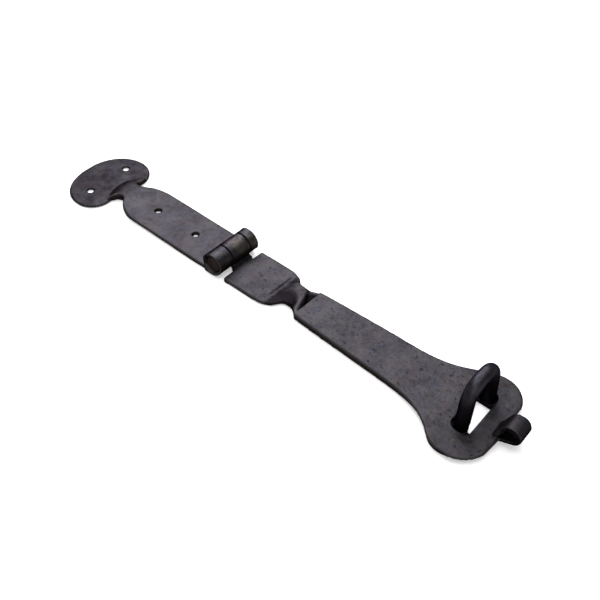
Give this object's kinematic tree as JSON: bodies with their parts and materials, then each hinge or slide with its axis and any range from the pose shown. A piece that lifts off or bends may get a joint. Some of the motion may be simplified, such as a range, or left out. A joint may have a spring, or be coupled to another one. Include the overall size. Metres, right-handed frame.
{
  "type": "hasp and staple",
  "caption": "Forged black hasp and staple: a flared, slotted hasp with a finger curl swings on a pinned barrel hinge over a round bar staple that takes a padlock.",
  "frame": {"origin": "middle of the set's outline on the surface that it is screwed to", "axes": "+X runs along the hasp from the bean-shaped end of the leaf towards the finger curl, +Y runs across it along the hinge pin, and +Z points away from the mounting surface"},
  "size_m": [0.3061, 0.0576, 0.0292],
  "materials": {
    "leaf_steel": "hand-forged, beeswax-blackened, satin",
    "hasp_steel": "hand-forged, beeswax-blackened, lightly pitted",
    "pin_steel": "hammered rivet head, worn satin",
    "staple_steel": "forged round bar, waxed black, soft sheen"
  },
  "bodies": {
    "fixed": {"fixed_leaf": "leaf_steel", "hinge_pin": "pin_steel", "staple": "staple_steel"},
    "hasp": {"hasp": "hasp_steel"}
  },
  "joints": [
    {"name": "hasp_swing", "type": "hinge", "parent": "fixed", "child": "hasp", "pos_m": [-0.0362, 0, 0.0065], "axis": [0, -1, 0], "range_deg": [0, 178]}
  ]
}
